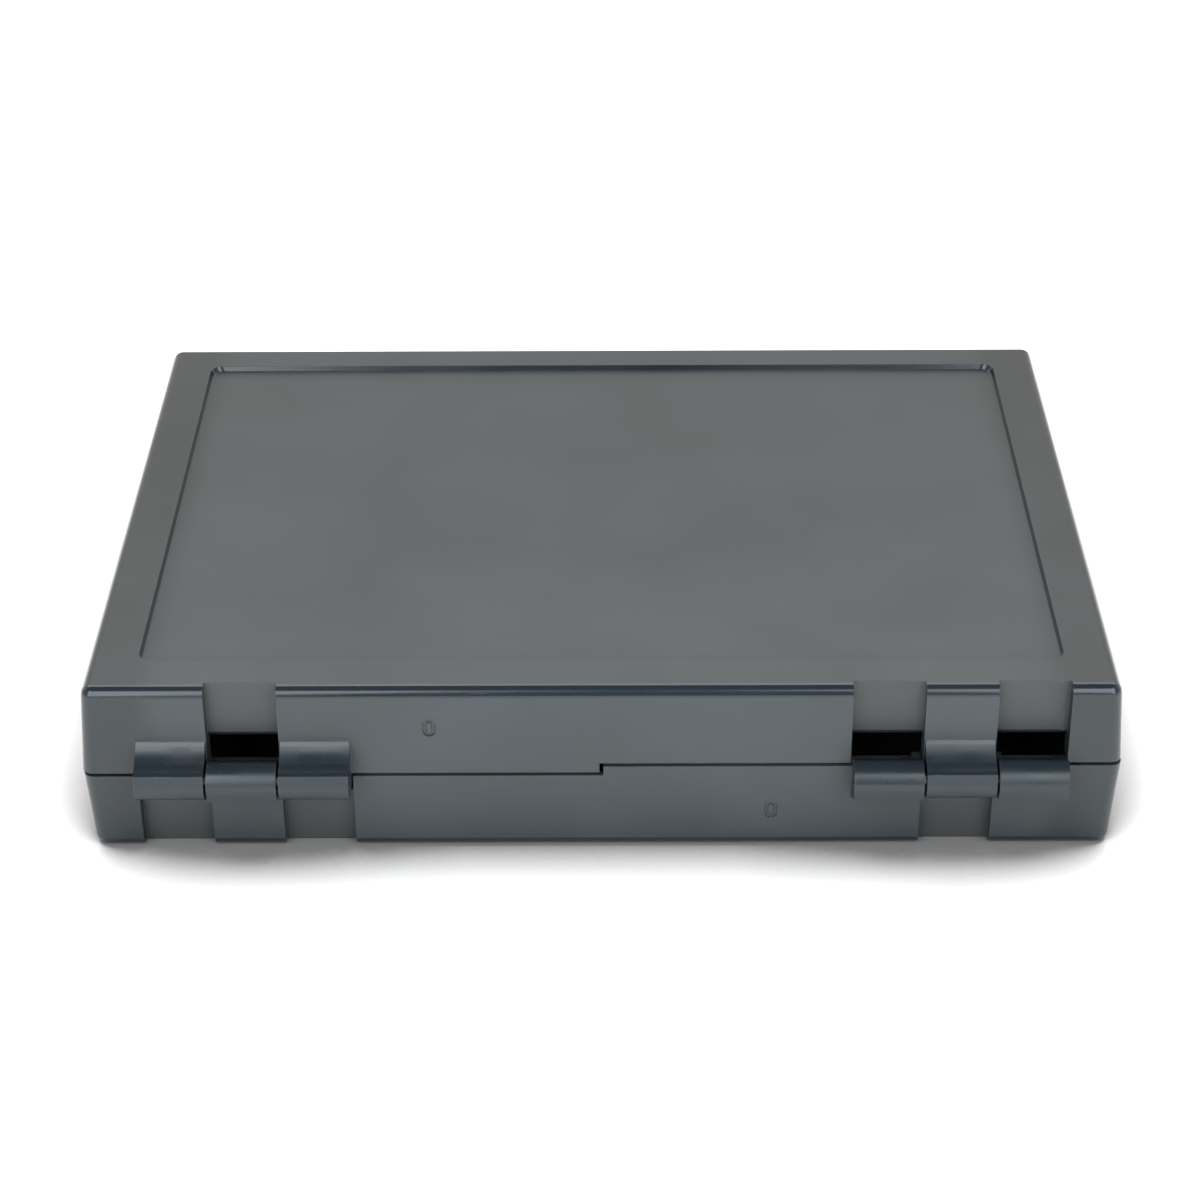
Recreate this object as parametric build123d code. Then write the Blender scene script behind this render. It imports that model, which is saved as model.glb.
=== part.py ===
"""Flat two-shell toolbox with a lift-out tray, millimetres, +Z up.

Origin: on the resting plane, under the middle of the closed case's overall outline,
handle and hinges included.  +X width, +Y to the hinges, -Y to the handle and latches.
Both shells come from one moulding shape: the base is the lid turned half a turn about
the Y axis through the parting plane.
"""
import os
from build123d import *

# overall sizes
WIDTH = 270.0           # at the parting edge
DEPTH = 195.0           # at the parting edge
HALF = 24.6             # height of each shell from the parting plane
SIDE_DRAFT = 1.7        # how much narrower each side is at the outer face
REAR_DRAFT = 0.4        # the same for the front and rear walls
CORNER_R = 3.0
EDGE_R = 2.8
WALL = 2.4
PLATE = 2.2

# stepped parting line: one half of each shell hangs lower than the other
STEP = 1.4
GAP = 0.5               # each shell stops this far from the parting line
LAP = 3.0               # height of the inner tongue
LAP_OUT = 1.35          # tongue stands this far in from the outer face
LAP_CLEAR = 0.25

# recessed panel in the outer face
RIM_SIDE = 13.0
RIM_FRONT = 12.2
RIM_REAR = 14.4
PANEL_DEEP = 1.4
PANEL_R = 3.6

# hinges
HINGE_X = 92.6
PITCH = 18.65
KNUCKLE_W = 18.0
AXIS_OUT = 4.25         # hinge axis behind the rear wall
BARREL_R = 5.1
RIDGE_OUT = 8.5
RIDGE_Z = 3.9
FLARE_Z = 8.8
NOTCH_Z = 7.8
GATE_X = 44.3            # moulding gate mark on the rear wall
GATE_Z = 13.0
NOTCH_R = 1.8            # rounding of the channel floor into the notch
CHANNEL_DEEP = 4.0
BORE_R = 1.55
PIN_R = 1.5
PIN_END = 1.4           # closed end left in the outer knuckle

# sliding latches
LATCH_X = 88.0
SLIDER_LONG = 36.0
TRAVEL = 8.7
TOOTH = 8.0
TOOTH_PITCH = 2 * TRAVEL
RAIL_STEM = (4.5, 6.0)
RAIL_HEAD = (3.0, 7.5)
STEM_OUT = 2.0
HEAD_OUT = 3.5
PLATE_IN = 3.9
PLATE_OUT = 5.7
LATCH_CLEAR = 0.4

# carrying handle, half on each shell
HANDLE_W = 108.0
HANDLE_OUT = 30.0
HANDLE_BAR = 12.0
HANDLE_HALF = 6.4
HANDLE_R = 12.0
HANDLE_WALL = 1.9

# tray
TRAY_FLOOR_Z = 3.8
TRAY_TALL = 18.2
TRAY_X = 128.2
TRAY_FRONT = -91.9
TRAY_BACK = 89.2
TRAY_WALL = 1.6
POCKET_R = 1.6
TRAY_FLANGE = 0.6
ROW_WALLS = (-38.0, 26.0)
SLOTS = 9
SLOT_PITCH = 25.44
DIVIDER_T = 1.5
DIVIDER_GAP = 0.2
GUIDE = 1.2
DIVIDER_SLOTS = ((2, 4, 5, 7), (1, 3, 6, 8))


# the case is centred front to back on its overall outline
SHIFT = (HANDLE_OUT - AXIS_OUT - BARREL_R) / 2


def box(x0, x1, y0, y1, z0, z1):
    """Block between two corners."""
    size = Box(x1 - x0, y1 - y0, z1 - z0)
    return Pos((x0 + x1) / 2, (y0 + y1) / 2, (z0 + z1) / 2) * size


def slab(w, d, r, z0, z1):
    """Upright block with rounded plan corners."""
    return Pos(0, 0, z0) * extrude(RectangleRounded(w, d, r), z1 - z0)


def frustum(w0, d0, w1, d1, z0, z1, corner, edge):
    """Drafted block with rounded corners and a rounded outer loop."""
    side = Polygon((-w0 / 2, z0), (w0 / 2, z0), (w1 / 2, z1), (-w1 / 2, z1), align=None)
    end = Polygon((-d0 / 2, z0), (d0 / 2, z0), (d1 / 2, z1), (-d1 / 2, z1), align=None)
    across = extrude(Plane.XZ * side, d0, both=True)
    along = extrude(Plane.YZ * end, w0, both=True)
    body = across & along
    upright = [e for e in body.edges() if abs((e @ 0).Z - (e @ 1).Z) > (z1 - z0) / 2]
    body = fillet(upright, corner)
    if edge > 0:
        body = fillet(body.faces().sort_by(Axis.Z)[-1].edges(), edge)
    return body


def own_slots(side):
    """Centres of this shell's own knuckles on one side (+1 or -1)."""
    if side > 0:
        return [HINGE_X + PITCH, HINGE_X - PITCH]
    return [-HINGE_X]


def other_slots(side):
    """Centres of the places kept free for the other shell's knuckles."""
    if side > 0:
        return [HINGE_X]
    return [-HINGE_X - PITCH, -HINGE_X + PITCH]


def outer_body():
    low = -STEP + GAP
    body = frustum(WIDTH, DEPTH, WIDTH - 2 * SIDE_DRAFT, DEPTH - 2 * REAR_DRAFT,
                   low, HALF, CORNER_R, EDGE_R)
    w = WIDTH - 2 * SIDE_DRAFT - 2 * RIM_SIDE
    d = DEPTH - 2 * REAR_DRAFT - RIM_FRONT - RIM_REAR
    recess = frustum(w - 1.2, d - 1.2, w + 0.4, d + 0.4, HALF - PANEL_DEEP, HALF + 0.4,
                     PANEL_R, 0)
    return body - Pos(0, (RIM_FRONT - RIM_REAR) / 2, 0) * recess


def cavity():
    w = WIDTH - 2 * WALL
    d = DEPTH - 2 * WALL
    top = HALF - PANEL_DEEP - PLATE
    return frustum(w, d, w - 2 * SIDE_DRAFT, d - 2 * REAR_DRAFT, -STEP - 2, top, 1.5, 1.0)


def knuckle_profile():
    """Side view of a knuckle: x is outward from the rear wall, y is height."""
    barrel = Pos(AXIS_OUT, 0) * Circle(BARREL_R)
    root = (-1.2, FLARE_Z + 0.3)
    flare = ThreePointArc((0, FLARE_Z + 0.3), (4.0, 5.45), (RIDGE_OUT, RIDGE_Z))
    web = make_face([
        Line((-1.2, 0.0), root),
        Line(root, (0, FLARE_Z + 0.3)),
        flare,
        Line((RIDGE_OUT, RIDGE_Z), (AXIS_OUT + BARREL_R - 0.04, 0.6)),
        Line((AXIS_OUT + BARREL_R - 0.04, 0.6), (AXIS_OUT, 0.0)),
        Line((AXIS_OUT, 0.0), (-1.2, 0.0)),
    ])
    return barrel + web


def knuckle(centre):
    turned = Plane((centre - KNUCKLE_W / 2, DEPTH / 2, 0), x_dir=(0, 1, 0), z_dir=(1, 0, 0))
    return extrude(turned * knuckle_profile(), KNUCKLE_W)


def pad(centre):
    """Thicker wall inside, behind a channel."""
    half = PITCH / 2 + WALL
    y1 = DEPTH / 2 - WALL / 2
    y0 = DEPTH / 2 - CHANNEL_DEEP - WALL
    return box(centre - half, centre + half, y0, y1, -STEP + GAP, HALF - PANEL_DEEP - 0.6)


def channel(centre):
    half = PITCH / 2
    y0 = DEPTH / 2 - CHANNEL_DEEP
    cut = box(centre - half, centre + half, y0, DEPTH / 2 + 5, -5, HALF + 5)
    r = NOTCH_R
    under = make_face([
        Line((y0 - 5, -5), (y0 - 5, NOTCH_Z)),
        Line((y0 - 5, NOTCH_Z), (y0 - r, NOTCH_Z)),
        RadiusArc((y0 - r, NOTCH_Z), (y0, NOTCH_Z + r), -r),
        Line((y0, NOTCH_Z + r), (y0 + 2, NOTCH_Z + r)),
        Line((y0 + 2, NOTCH_Z + r), (y0 + 2, -5)),
        Line((y0 + 2, -5), (y0 - 5, -5)),
    ])
    side = Plane((centre - half, 0, 0), x_dir=(0, 1, 0), z_dir=(1, 0, 0))
    return cut + extrude(side * under, 2 * half)


def bore(side):
    inner = HINGE_X - 1.5 * PITCH - 2
    outer = HINGE_X + PITCH + KNUCKLE_W / 2 - PIN_END
    hole = Plane((inner, DEPTH / 2 + AXIS_OUT, 0), x_dir=(0, 1, 0), z_dir=(1, 0, 0))
    solid = extrude(hole * Circle(BORE_R), outer - inner)
    return solid if side > 0 else mirror(solid, Plane.YZ)


def handle_half():
    """Carrying loop on the front wall, this shell's half, hollow from the parting side."""
    full = HANDLE_OUT + 20
    y_mid = -DEPTH / 2 - HANDLE_OUT + full / 2
    outer = Pos(0, y_mid, 0) * RectangleRounded(HANDLE_W, full, HANDLE_R)
    inner = Pos(0, y_mid + HANDLE_BAR, 0) * RectangleRounded(
        HANDLE_W - 2 * HANDLE_BAR, full, HANDLE_R - 6)
    low = -STEP - 1
    loop = Pos(0, 0, low) * extrude(outer - inner, HANDLE_HALF - low)
    crown = [e for e in loop.edges() if abs(e.center().Z - HANDLE_HALF) < 0.01]
    loop = fillet(crown, 2.6)
    t = HANDLE_WALL
    o2 = Pos(0, y_mid, 0) * RectangleRounded(HANDLE_W - 2 * t, full - 2 * t, HANDLE_R - t)
    i2 = Pos(0, y_mid + HANDLE_BAR, 0) * RectangleRounded(
        HANDLE_W - 2 * HANDLE_BAR + 2 * t, full + 2 * t, HANDLE_R - 6 + t)
    hollow = Pos(0, 0, low - 1) * extrude(o2 - i2, HANDLE_HALF - t - low + 1)
    keep = box(-HANDLE_W, HANDLE_W, -DEPTH / 2 - 60, -DEPTH / 2 + 1, -20, 20)
    clear = box(-HANDLE_W, HANDLE_W, -DEPTH / 2 - 60, -DEPTH / 2 - 0.8, -20, 20)
    ribs = [box(x - 0.7, x + 0.7, -DEPTH / 2 - HANDLE_OUT + 1, -DEPTH / 2 - HANDLE_OUT
                + HANDLE_BAR - 1, low, HANDLE_HALF - 1) for x in (-28, -14, 0.9, 14, 28)]
    loop = (loop & keep) - (hollow & clear)
    for rib in ribs:
        loop = loop + rib
    return loop


def front(x0, x1, out0, out1, z0, z1):
    """Block measured outward from the front wall."""
    return box(x0, x1, -DEPTH / 2 - out1, -DEPTH / 2 - out0, z0, z1)


def rail():
    """T rail for this shell's own slider, with an end stop at each end."""
    x0 = LATCH_X - TRAVEL / 2 - SLIDER_LONG / 2
    x1 = LATCH_X + TRAVEL / 2 + SLIDER_LONG / 2
    body = front(x0 - 2.3, x1 + 2.3, -1, STEM_OUT, *RAIL_STEM)
    body += front(x0 - 2.3, x1 + 2.3, STEM_OUT, HEAD_OUT, *RAIL_HEAD)
    body += front(x0 - 2.3, x0 - 0.3, -1, PLATE_OUT, RAIL_HEAD[0] - 0.6, RAIL_HEAD[1] + 0.6)
    body += front(x1 + 0.3, x1 + 2.3, -1, PLATE_OUT, RAIL_HEAD[0] - 0.6, RAIL_HEAD[1] + 0.6)
    return body


def catches():
    """Hooks for the other shell's slider."""
    body = None
    for off in (-1.5 * TRAVEL, 0.5 * TRAVEL):
        mid = -(LATCH_X + off)
        hook = front(mid - TOOTH / 2, mid + TOOTH / 2, -1, STEM_OUT, *RAIL_STEM)
        hook += front(mid - TOOTH / 2, mid + TOOTH / 2, STEM_OUT, HEAD_OUT,
                      RAIL_STEM[0], RAIL_HEAD[1])
        body = hook if body is None else body + hook
    return body


def hinge_zone(z0, z1):
    """Stretches of the rear wall that carry no tongue or rabbet."""
    half = 1.5 * PITCH + 3.2
    zone = box(HINGE_X - half, HINGE_X + half, DEPTH / 2 - 15, DEPTH / 2 + 5, z0, z1)
    return zone + mirror(zone, Plane.YZ)


def tongue():
    w = WIDTH - 2 * LAP_OUT
    d = DEPTH - 2 * LAP_OUT
    wi = WIDTH - 2 * WALL
    di = DEPTH - 2 * WALL
    low = -STEP + GAP - LAP
    high = -STEP + GAP + 0.5
    ring = slab(w, d, 1.8, low, high) - slab(wi, di, 1.4, low - 1, high + 1)
    right = box(2 * GAP, WIDTH, -DEPTH, DEPTH, low - 1, high + 1)
    return (ring & right) - hinge_zone(low - 1, high + 1)


def rabbet():
    off = LAP_OUT - LAP_CLEAR
    low = STEP + GAP
    high = STEP - GAP + LAP + 0.4
    block = slab(WIDTH - 2 * off, DEPTH - 2 * off, 1.9, low - 0.5, high)
    left = box(-WIDTH, -GAP, -DEPTH, DEPTH, low - 1, high + 1)
    return (block & left) - hinge_zone(low - 1, high + 1)


def shell():
    """The shell moulding, parting plane at z = 0, outer face up."""
    body = outer_body()
    body = body - cavity()
    for side in (1, -1):
        for centre in other_slots(side):
            body = body + pad(centre)
    body = body + handle_half()
    body = body + rail()
    body = body + catches()
    high_side = box(-WIDTH, GAP, -DEPTH, DEPTH, -10, STEP + GAP)
    low_side = box(-WIDTH, WIDTH, -DEPTH, DEPTH, -10, -STEP + GAP)
    body = body - high_side - low_side
    body = body + tongue()
    body = body - rabbet()
    for side in (1, -1):
        for centre in own_slots(side):
            body = body + knuckle(centre)
        for centre in other_slots(side):
            body = body - channel(centre)
        body = body - bore(side)
    gate = Plane((GATE_X, DEPTH / 2 + 1, GATE_Z), x_dir=(0, 0, 1), z_dir=(0, -1, 0))
    mark = extrude(gate * SlotOverall(5.2, 3.3), 1.7)
    nub = extrude(gate * SlotOverall(3.2, 1.3), 1.7)
    return body - (mark - nub)


def pin(side):
    inner = HINGE_X - 1.5 * PITCH + 0.8
    outer = HINGE_X + PITCH + KNUCKLE_W / 2 - PIN_END - 0.3
    plane = Plane((inner, DEPTH / 2 + AXIS_OUT, HALF), x_dir=(0, 1, 0), z_dir=(1, 0, 0))
    rod = extrude(plane * Circle(PIN_R), outer - inner)
    rod = chamfer(rod.edges().filter_by(GeomType.CIRCLE), 0.4)
    return rod if side > 0 else mirror(rod, Plane.YZ)


def slider():
    """Sliding latch for the rail on the shell moulding, in the released place."""
    mid = LATCH_X + TRAVEL / 2
    x0 = mid - SLIDER_LONG / 2
    x1 = mid + SLIDER_LONG / 2
    c = LATCH_CLEAR
    top = RAIL_HEAD[1] + c
    lip0 = 0.5
    lip1 = STEM_OUT - c
    body = front(x0, x1, PLATE_IN, PLATE_OUT, -top - 1.2, top + 1.2)
    front_face = body.faces().sort_by(Axis.Y)[0]
    body = fillet(front_face.edges(), 0.7)
    body += front(x0, x1, lip0, PLATE_IN + 0.4, top, top + 1.2)
    body += front(x0, x1, lip0, lip1, RAIL_STEM[1] + c, top + 0.5)
    low = RAIL_HEAD[0] - c
    body += front(x0, x1, lip0, PLATE_IN + 0.4, low - 1.2, low)
    body += front(x0, x1, lip0, lip1, low - 0.6, RAIL_STEM[0] - c)
    for off in (-TOOTH_PITCH / 2, TOOTH_PITCH / 2):
        a = mid + off - TOOTH / 2
        b = mid + off + TOOTH / 2
        body += front(a, b, lip0, PLATE_IN + 0.4, -top - 1.2, -top)
        body += front(a, b, lip0, lip1, -top - 0.6, -RAIL_STEM[1] - c)
    for i in range(5):
        x = mid - 8 + 4 * i
        body += front(x - 0.7, x + 0.7, PLATE_OUT - 0.3, PLATE_OUT + 0.6, -6, 6)
    return body


def tray_rows():
    """Front and back limits of the three rows inside the tray."""
    t = TRAY_WALL
    y = [TRAY_FRONT + t, ROW_WALLS[0] - t / 2, ROW_WALLS[0] + t / 2,
         ROW_WALLS[1] - t / 2, ROW_WALLS[1] + t / 2, TRAY_BACK - t]
    return [(y[0], y[1]), (y[2], y[3]), (y[4], y[5])]


def slot_x(i):
    return (i - (SLOTS + 1) / 2) * SLOT_PITCH


def tray():
    z0 = TRAY_FLOOR_Z
    z1 = z0 + TRAY_TALL
    mid_y = (TRAY_FRONT + TRAY_BACK) / 2
    deep = TRAY_BACK - TRAY_FRONT
    body = Pos(0, mid_y, 0) * slab(2 * TRAY_X, deep, 4.0, z0, z1)
    body = fillet(body.faces().sort_by(Axis.Z)[0].edges(), 1.5)
    lip = slab(2 * (TRAY_X + TRAY_FLANGE), deep + 2 * TRAY_FLANGE, 5.0, z1 - 1.4, z1)
    body += Pos(0, mid_y, 0) * lip
    for y0, y1 in tray_rows():
        w = 2 * (TRAY_X - TRAY_WALL)
        pocket = slab(w, y1 - y0, POCKET_R, z0 + TRAY_WALL, z1 + 5)
        pocket = fillet(pocket.faces().sort_by(Axis.Z)[0].edges(), 1.2)
        body -= Pos(0, (y0 + y1) / 2, 0) * pocket
    for side in (1, -1):
        scoop = Plane((side * (TRAY_X + 6), mid_y + 3, z1 + 3.4), x_dir=(0, 1, 0),
                      z_dir=(-side, 0, 0))
        body -= extrude(scoop * SlotOverall(34, 22), 12)
    half = DIVIDER_T / 2 + DIVIDER_GAP
    for y0, y1 in tray_rows()[1:]:
        for i in range(1, SLOTS + 1):
            for s in (-1, 1):
                a, b = sorted((slot_x(i) + s * half, slot_x(i) + s * (half + GUIDE)))
                body += box(a, b, y0 - 0.3, y0 + GUIDE, z0 + TRAY_WALL - 0.3, z1 - 2.2)
                body += box(a, b, y1 - GUIDE, y1 + 0.3, z0 + TRAY_WALL - 0.3, z1 - 2.2)
    return body


def divider(row, i):
    y0, y1 = tray_rows()[row]
    x = slot_x(i)
    g = DIVIDER_GAP
    z0 = TRAY_FLOOR_Z + TRAY_WALL
    top = TRAY_FLOOR_Z + TRAY_TALL - 1.6
    plate = box(x - DIVIDER_T / 2, x + DIVIDER_T / 2, y0 + g, y1 - g, z0 + g, top)
    low = [e for e in plate.edges().filter_by(Axis.X) if e.center().Z < z0 + 1]
    plate = chamfer(low, 1.6)
    high = [e for e in plate.edges().filter_by(Axis.X) if e.center().Z > top - 1]
    return fillet(high, 1.5)


def save(shape, name, up=0.0):
    """Write one node in the shared frame."""
    export_step(Pos(0, SHIFT, up) * shape, "parts/" + name + ".step")


os.makedirs("parts", exist_ok=True)
half_shell = shell()
turn = Rot(0, 180, 0)
save(half_shell, "lid_shell", HALF)
save(turn * half_shell, "base_shell", HALF)
save(pin(1), "hinge_pin_right")
save(pin(-1), "hinge_pin_left")
latch = slider()
save(latch, "latch_slider_lid", HALF)
save(turn * latch, "latch_slider_base", HALF)
save(tray(), "tray")
for row, label in ((1, "middle"), (2, "rear")):
    for n, i in enumerate(DIVIDER_SLOTS[row - 1]):
        save(divider(row, i), "divider_" + label + "_" + str(n + 1))
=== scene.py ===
"""Toolbox with tray: materials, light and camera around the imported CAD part."""
import math

import bpy
from mathutils import Matrix, Vector

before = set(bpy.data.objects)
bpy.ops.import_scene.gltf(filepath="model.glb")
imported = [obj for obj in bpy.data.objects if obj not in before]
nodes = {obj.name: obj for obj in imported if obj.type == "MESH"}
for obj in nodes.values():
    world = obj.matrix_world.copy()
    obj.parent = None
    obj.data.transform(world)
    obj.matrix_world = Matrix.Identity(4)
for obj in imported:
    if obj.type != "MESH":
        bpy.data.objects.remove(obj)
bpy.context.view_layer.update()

# ---------------------------------------------------------------- places on the part
MM = 0.001
SHIFT = 10.325                      # front-to-back place of the shells' middle, mm
PART_Z = 24.6                       # height of the parting plane, mm
REAR_Y = (97.5 + SHIFT) * MM        # the rear wall
CHANNEL_Y = (93.5 + SHIFT) * MM     # the floors of the hinge channels
CHANNEL_FADE = (0.0008, 0.0004)     # how far from that depth the floors' look ends
RUBBED = (-0.0636, -0.0159, 0.0478)     # middle of the rub marks on the lid panel
RUB_FADE = (0.026, 0.010)
SHADED_MARGIN_X = (0.112, 0.122)           # |x| over which the painted shade on the left and right margins sets in
GATE_RING = ((0.0060, 0.0052), (0.0036, 0.0050))    # outer and inner edge of the faint ring


def at(x, y, z):
    """A point given in mm from the shells' middle, in the frame's metres."""
    return (x * MM, (y + SHIFT) * MM, z * MM)


LID_GATE = at(44.3, 97.3, PART_Z + 13.0)
BASE_GATE = at(-44.3, 97.3, PART_Z - 13.0)

# ---------------------------------------------------------------- colours and gloss
BLACK = (0.029, 0.0345, 0.0375)
# the base's plastic is the lid's plastic a little darker: painted shade on the base
BLACK_BASE_SHADED = (0.027, 0.033, 0.036)
LATCH = (0.030, 0.033, 0.035)
TRAY = (0.026, 0.028, 0.030)
DIVIDER = (0.036, 0.038, 0.040)
STEEL_DARK = (0.26, 0.265, 0.27, 1)
STEEL_LIGHT = (0.36, 0.36, 0.355, 1)
SHELL_ROUGH = 0.36
GLOSSY_ROUGH = 0.17
GLOSSY_TONE = (0.40, 0.50, 0.62)    # share of the base colour left where it is glossy
# tone of the painted light on the hinge-channel floors
CHANNEL_LIGHT_TONE = (1.04, 1.04, 1.0)
EDGE = 0.00035                      # softening of sharp edges in shading, m
WEAR = 0.5                          # strength of the worn edges


# ---------------------------------------------------------------- node helpers
class Graph:
    """A small wrapper for building one material's nodes."""

    def __init__(self, tree):
        self.tree = tree

    def node(self, kind, **props):
        n = self.tree.nodes.new(kind)
        for key, value in props.items():
            setattr(n, key, value)
        return n

    def link(self, a, b):
        self.tree.links.new(a, b)

    def put(self, socket, value):
        if isinstance(value, bpy.types.NodeSocket):
            self.link(value, socket)
        else:
            socket.default_value = value

    def math(self, op, a, b=0.0, clamp=False):
        n = self.node("ShaderNodeMath", operation=op, use_clamp=clamp)
        self.put(n.inputs[0], a)
        self.put(n.inputs[1], b)
        return n.outputs[0]

    def add(self, a, b, clamp=False):
        return self.math("ADD", a, b, clamp)

    def sub(self, a, b, clamp=False):
        return self.math("SUBTRACT", a, b, clamp)

    def mul(self, a, b, clamp=False):
        return self.math("MULTIPLY", a, b, clamp)

    def ramp(self, value, x0, x1, y0=0.0, y1=1.0):
        n = self.node("ShaderNodeMapRange", interpolation_type="SMOOTHSTEP")
        self.put(n.inputs["Value"], value)
        n.inputs["From Min"].default_value = x0
        n.inputs["From Max"].default_value = x1
        n.inputs["To Min"].default_value = y0
        n.inputs["To Max"].default_value = y1
        return n.outputs[0]

    def noise(self, coords, per_metre, detail=2.0, rough=0.5, distortion=0.0):
        n = self.node("ShaderNodeTexNoise")
        self.link(coords, n.inputs["Vector"])
        n.inputs["Scale"].default_value = per_metre
        n.inputs["Detail"].default_value = detail
        n.inputs["Roughness"].default_value = rough
        n.inputs["Distortion"].default_value = distortion
        return n.outputs["Fac"]

    def stretched(self, coords, scale, turn=0.0):
        n = self.node("ShaderNodeMapping")
        self.link(coords, n.inputs["Vector"])
        n.inputs["Scale"].default_value = scale
        n.inputs["Rotation"].default_value = (0, 0, turn)
        return n.outputs[0]

    def split(self, vector):
        n = self.node("ShaderNodeSeparateXYZ")
        self.link(vector, n.inputs[0])
        return n.outputs

    def distance(self, coords, point):
        n = self.node("ShaderNodeVectorMath", operation="DISTANCE")
        self.link(coords, n.inputs[0])
        n.inputs[1].default_value = point
        return n.outputs["Value"]

    def mix(self, fac, a, b):
        n = self.node("ShaderNodeMix", data_type="RGBA")
        self.put(n.inputs[0], fac)
        self.put(n.inputs[6], a)
        self.put(n.inputs[7], b)
        return n.outputs[2]

    def rounded(self, radius):
        n = self.node("ShaderNodeBevel", samples=4)
        n.inputs["Radius"].default_value = radius
        return n.outputs[0]

    def bump(self, height, strength, distance, below=None):
        n = self.node("ShaderNodeBump")
        self.put(n.inputs["Height"], height)
        n.inputs["Strength"].default_value = strength
        n.inputs["Distance"].default_value = distance
        if below is not None:
            self.link(below, n.inputs["Normal"])
        return n.outputs[0]


def new_material(name):
    """An empty material with its graph, its shader and its object coordinates."""
    m = bpy.data.materials.new(name)
    m.use_nodes = True
    m.node_tree.nodes.clear()
    g = Graph(m.node_tree)
    out = g.node("ShaderNodeOutputMaterial")
    bsdf = g.node("ShaderNodeBsdfPrincipled")
    g.link(bsdf.outputs[0], out.inputs[0])
    return m, g, bsdf, g.node("ShaderNodeTexCoord").outputs["Object"]


def scaled(base, shares):
    return tuple(c * k for c, k in zip(base, shares)) + (1,)


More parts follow.
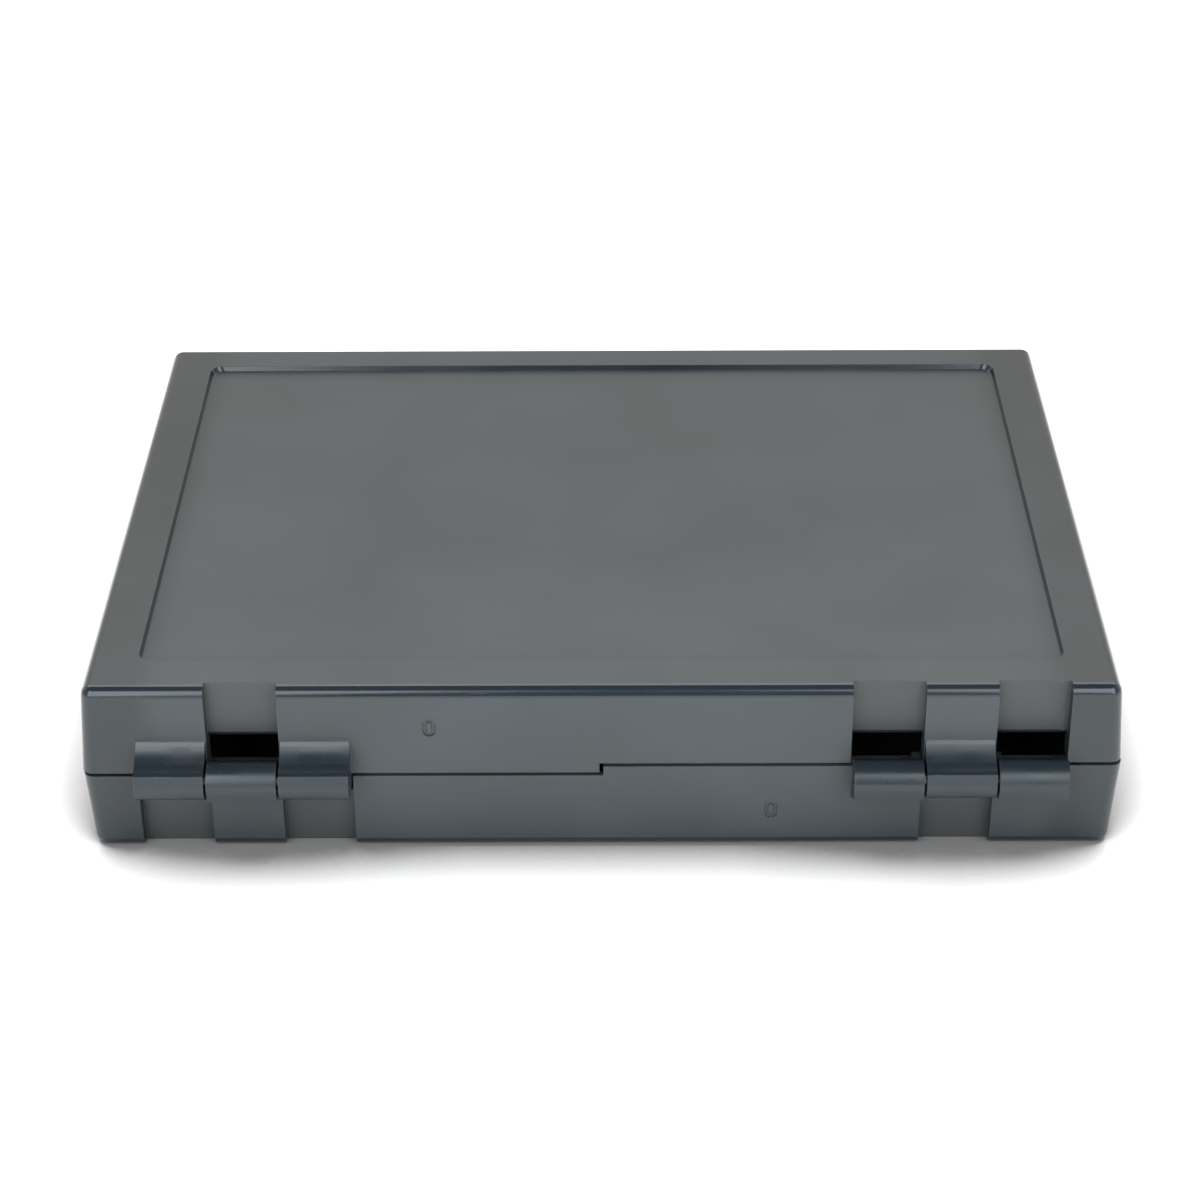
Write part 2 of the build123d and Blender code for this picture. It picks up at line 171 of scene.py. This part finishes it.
def plastic(name, base, rough, grain=0.5, gate=None, outside=False):
    """Moulded plastic: grain, slow waviness, faint mottling, fine scratches, worn edges; on
    the shells' outside also painted light on the hinge-channel floors and painted shade at
    the left and right margins.
    """
    m, g, bsdf, coords = new_material(name)
    face_normal = g.node("ShaderNodeNewGeometry").outputs["Normal"]

    cloud = g.noise(coords, 22, 3, 0.55)
    fine = g.noise(coords, 2600, 2, 0.6)
    specks = g.ramp(g.noise(coords, 700, 1, 0.5), 0.755, 0.785)
    sweep = g.stretched(coords, (12, 260, 260), 0.55)
    scratch = g.ramp(g.noise(sweep, 5.0, 2, 0.6, 0.15), 0.70, 0.76)
    patchy = g.ramp(g.noise(coords, 14, 2, 0.5), 0.45, 0.62)
    scratches = g.mul(scratch, patchy)

    # worn edges: where the rounded normal leaves the face's own normal
    dot = g.node("ShaderNodeVectorMath", operation="DOT_PRODUCT")
    g.link(g.rounded(EDGE * 2.2), dot.inputs[0])
    g.link(face_normal, dot.inputs[1])
    edges = g.ramp(dot.outputs["Value"], 0.995, 0.90)
    worn = g.mul(edges, g.ramp(g.noise(coords, 160, 3, 0.65), 0.42, 0.66))
    worn = g.mul(worn, WEAR)

    shade = g.ramp(cloud, 0.3, 0.7, -0.09, 0.09)
    shade = g.add(shade, g.mul(g.sub(fine, 0.5), 0.25 * grain))
    shade = g.add(shade, g.mul(specks, 0.12))
    shade = g.add(shade, g.mul(scratches, 0.35))
    shade = g.add(shade, g.mul(worn, 1.1))
    roughness = g.ramp(cloud, 0.3, 0.7, rough - 0.03, rough + 0.03)
    roughness = g.add(roughness, g.mul(scratches, 0.10))
    roughness = g.sub(roughness, g.mul(worn, 0.08))
    texture = 1.0
    if outside:
        # sloping faces, and all that stands out behind the rear wall, are darker and glossier
        tilt = g.math("ABSOLUTE", g.split(face_normal)["Z"])
        tilted = g.mul(g.ramp(tilt, 0.05, 0.20), g.ramp(tilt, 0.992, 0.95))
        place = g.split(coords)
        rear = g.ramp(place["Y"], REAR_Y + 0.0006, REAR_Y + 0.0010)
        gloss = g.math("MAXIMUM", tilted, rear)
        roughness = g.sub(roughness, g.mul(gloss, rough - GLOSSY_ROUGH))
        # behind the rear wall the gloss is softer and uneven
        mottle = g.ramp(g.noise(coords, 95, 3, 0.6), 0.36, 0.64, 0.09, 0.22)
        roughness = g.add(roughness, g.mul(rear, mottle))
        texture = g.sub(1.0, g.mul(gloss, 0.85))
        # painted light: the floors of the hinge channels are less blue, and lighter in the
        # base, for how light falls there
        far, near = CHANNEL_FADE
        channel = g.mul(g.ramp(place["Y"], CHANNEL_Y - far, CHANNEL_Y - near),
                        g.ramp(place["Y"], CHANNEL_Y + far, CHANNEL_Y + near))
        floors = g.mul(channel, g.ramp(tilt, 0.1, 0.05))
        low_down = g.ramp(place["Z"], PART_Z * MM, (PART_Z - 4) * MM)
        shade = g.add(shade, g.mul(g.mul(floors, low_down), 0.50))
        # painted shade: the left and right margins are a little darker
        margin_shade = g.ramp(g.math("ABSOLUTE", place["X"]), *SHADED_MARGIN_X)
        shade = g.sub(shade, g.mul(margin_shade, 0.40))
        # a patch of faint rub marks on the lid panel
        rub = g.ramp(g.distance(coords, RUBBED), *RUB_FADE)
        strokes = g.noise(g.stretched(coords, (120, 420, 420), -0.35), 4.0, 3, 0.7)
        marks = g.ramp(strokes, 0.60, 0.72)
        shade = g.add(shade, g.mul(g.mul(rub, marks), 0.40))
    height = g.mul(fine, texture)
    if gate is not None:
        # a faint ring round the small mark
        d = g.distance(coords, gate)
        outer, inner = GATE_RING
        halo = g.mul(g.ramp(d, *outer), g.ramp(d, *inner))
        shade = g.add(shade, g.mul(halo, 0.07))
        roughness = g.sub(roughness, g.mul(halo, 0.03))
    low = scaled(base, (0.5, 0.5, 0.5))
    high = scaled(base, (1.5, 1.5, 1.5))
    colour = g.mix(g.add(shade, 0.5, clamp=True), low, high)
    if outside:
        # painted light: the hinge-channel floors take a warmer tone
        warm_light = scaled((base[1],) * 3, CHANNEL_LIGHT_TONE)
        colour = g.mix(g.mul(floors, 0.45), colour, warm_light)
        unworn = g.sub(1.0, worn, clamp=True)
        colour = g.mix(g.mul(gloss, unworn), colour, scaled(base, GLOSSY_TONE))
    g.link(colour, bsdf.inputs["Base Color"])
    g.link(roughness, bsdf.inputs["Roughness"])
    bsdf.inputs["Specular IOR Level"].default_value = 0.5
    bsdf.inputs["IOR"].default_value = 1.49
    bsdf.inputs["Specular Tint"].default_value = (0.90, 0.97, 1.0, 1)

    wave = g.noise(coords, 16, 1, 0.4)
    n1 = g.bump(wave, 0.35, 0.0012, g.rounded(EDGE))
    n2 = g.bump(height, 0.30 * grain, 0.00005, n1)
    n3 = g.bump(scratches, 0.15, 0.00003, n2)
    g.link(n3, bsdf.inputs["Normal"])
    return m


def steel(name):
    """Drawn steel with lengthwise streaks and faint staining."""
    m, g, bsdf, coords = new_material(name)
    drawn = g.noise(g.stretched(coords, (30, 2400, 2400)), 1.0, 3, 0.6)
    stain = g.noise(coords, 90, 3, 0.6)
    colour = g.mix(g.ramp(stain, 0.35, 0.7), STEEL_DARK, STEEL_LIGHT)
    g.link(colour, bsdf.inputs["Base Color"])
    bsdf.inputs["Metallic"].default_value = 1.0
    g.link(g.ramp(drawn, 0.3, 0.7, 0.24, 0.42), bsdf.inputs["Roughness"])
    g.link(g.bump(drawn, 0.2, 0.00002), bsdf.inputs["Normal"])
    return m


looks = {
    "lid_shell": plastic("lid_plastic", BLACK, SHELL_ROUGH, 0.7, LID_GATE, True),
    # the base's darker plastic is painted shade
    "base_shell": plastic("base_plastic_shaded", BLACK_BASE_SHADED, SHELL_ROUGH, 0.7, BASE_GATE, True),
    "latch_slider": plastic("latch_plastic", LATCH, 0.28, 0.3),
    "tray": plastic("tray_plastic", TRAY, 0.44, 0.9),
    "divider": plastic("divider_plastic", DIVIDER, 0.40, 0.7),
    "hinge_pin": steel("pin_steel"),
}
for name, obj in nodes.items():
    key = next(k for k in looks if name.startswith(k))
    obj.data.materials.clear()
    obj.data.materials.append(looks[key])

# ---------------------------------------------------------------- floor
HALF_FLOOR = 40.0
FLOOR_Z = -0.0002           # just under the base, so that the two never share a plane
FLOOR_SHADE = (0.18, 0.18, 0.18, 1)
FLOOR_WHITE = (0.78, 0.78, 0.78, 1)
SHADE_REACH = 0.036         # how far the painted contact shadow spreads, m

corners = ((-1, -1), (1, -1), (1, 1), (-1, 1))
mesh = bpy.data.meshes.new("floor")
mesh.from_pydata([(x * HALF_FLOOR, y * HALF_FLOOR, FLOOR_Z) for x, y in corners],
                 [], [(0, 1, 2, 3)])
floor = bpy.data.objects.new("floor", mesh)
bpy.context.scene.collection.objects.link(floor)
fm = bpy.data.materials.new("floor_white")
fm.use_nodes = True
fb = fm.node_tree.nodes["Principled BSDF"]
fb.inputs["Roughness"].default_value = 0.9
fb.inputs["Specular IOR Level"].default_value = 0.1
fb.inputs["Emission Color"].default_value = (1, 1, 1, 1)
fg = Graph(fm.node_tree)
# a painted contact shadow, where the floor's colour and glow fade with ambient occlusion near
# the object, then white paper
closed_in = fg.node("ShaderNodeAmbientOcclusion", samples=24)
closed_in.inputs["Distance"].default_value = SHADE_REACH
painted_shadow_fade = fg.mul(fg.sub(closed_in.outputs["AO"], 0.47), 2.05, clamp=True)
painted_shadow_fade = fg.math("POWER", painted_shadow_fade, 0.85)
fg.link(fg.mix(painted_shadow_fade, FLOOR_SHADE, FLOOR_WHITE), fb.inputs["Base Color"])
fg.link(fg.mul(painted_shadow_fade, 0.75), fb.inputs["Emission Strength"])
floor.data.materials.append(fm)


# ---------------------------------------------------------------- light
def area(name, where, target, size, power):
    data = bpy.data.lights.new(name, "AREA")
    data.shape = "RECTANGLE"
    data.size, data.size_y = size
    data.energy = power
    o = bpy.data.objects.new(name, data)
    bpy.context.scene.collection.objects.link(o)
    o.location = where
    o.rotation_mode = "QUATERNION"
    o.rotation_quaternion = (Vector(target) - Vector(where)).to_track_quat("-Z", "Y")


area("soft_left", (0.52, 0.94, 0.66), (0.1, 0.1, 0), (0.75, 1.10), 13.4)
area("soft_right", (-0.56, 0.94, 0.66), (-0.1, 0.1, 0), (0.70, 1.10), 12.5)
area("soft_back", (0.0, -0.75, 1.10), (0, 0.05, 0), (1.8, 0.35), 12.0)

# a white sweep behind the object, dim walls at its sides, a dark room behind the camera
SWEEP_LEVEL, WALL_LEVEL, ROOM_LEVEL = 0.89, 0.45, 0.14
ROOM_TINT = (0.97, 0.985, 1.0, 1)
SWEEP_TINT = (1.0, 0.965, 0.905, 1)

world = bpy.data.worlds.new("studio")
bpy.context.scene.world = world
world.use_nodes = True
world.node_tree.nodes.clear()
w = Graph(world.node_tree)
wout = w.node("ShaderNodeOutputWorld")
bg = w.node("ShaderNodeBackground")
w.link(bg.outputs[0], wout.inputs[0])
side, front_back, high = w.split(w.node("ShaderNodeTexCoord").outputs["Generated"])
sweep = w.mul(w.ramp(front_back, 0.10, -0.45), w.ramp(high, 0.78, 0.60))
walls = w.mul(w.ramp(w.math("ABSOLUTE", side), 0.45, 0.85), WALL_LEVEL)
w.link(w.add(w.mul(sweep, SWEEP_LEVEL), w.add(walls, ROOM_LEVEL)), bg.inputs["Strength"])
w.link(w.mix(sweep, ROOM_TINT, SWEEP_TINT), bg.inputs["Color"])

# ---------------------------------------------------------------- camera
PITCH = math.radians(31.557)
YAW = math.radians(0.255)
ROLL = math.radians(-0.296)
FOCAL = 2901.1 / 1200               # focal length over the frame's width
SENSOR = 36.0
EYE = (-2.616, 715.686, 431.310)    # mm from the shells' middle at the parting plane

s, c = math.sin(YAW), math.cos(YAW)
sp, cp = math.sin(PITCH), math.cos(PITCH)
right0 = Vector((c, -s, 0))
ahead = Vector((-cp * s, -cp * c, -sp))
up0 = Vector((-sp * s, -sp * c, cp))
right = math.cos(ROLL) * right0 + math.sin(ROLL) * up0
up = math.cos(ROLL) * up0 - math.sin(ROLL) * right0


def mirrored(v):
    """The camera's angles and axes count sideways the other way from the frame's X."""
    return Vector((-v.x, v.y, v.z))


cam_data = bpy.data.cameras.new("camera")
cam_data.sensor_width = SENSOR
cam_data.lens = SENSOR * FOCAL
cam_data.clip_start, cam_data.clip_end = 0.01, 120
camera = bpy.data.objects.new("camera", cam_data)
bpy.context.scene.collection.objects.link(camera)
axes = Matrix((mirrored(right), mirrored(up), -mirrored(ahead))).transposed()
eye = at(EYE[0], EYE[1], EYE[2] + PART_Z)
camera.matrix_world = Matrix.Translation(eye) @ axes.to_4x4()
bpy.context.scene.camera = camera

view = bpy.context.scene.view_settings
view.view_transform = "Standard"
view.look = "None"
view.exposure = 0.0
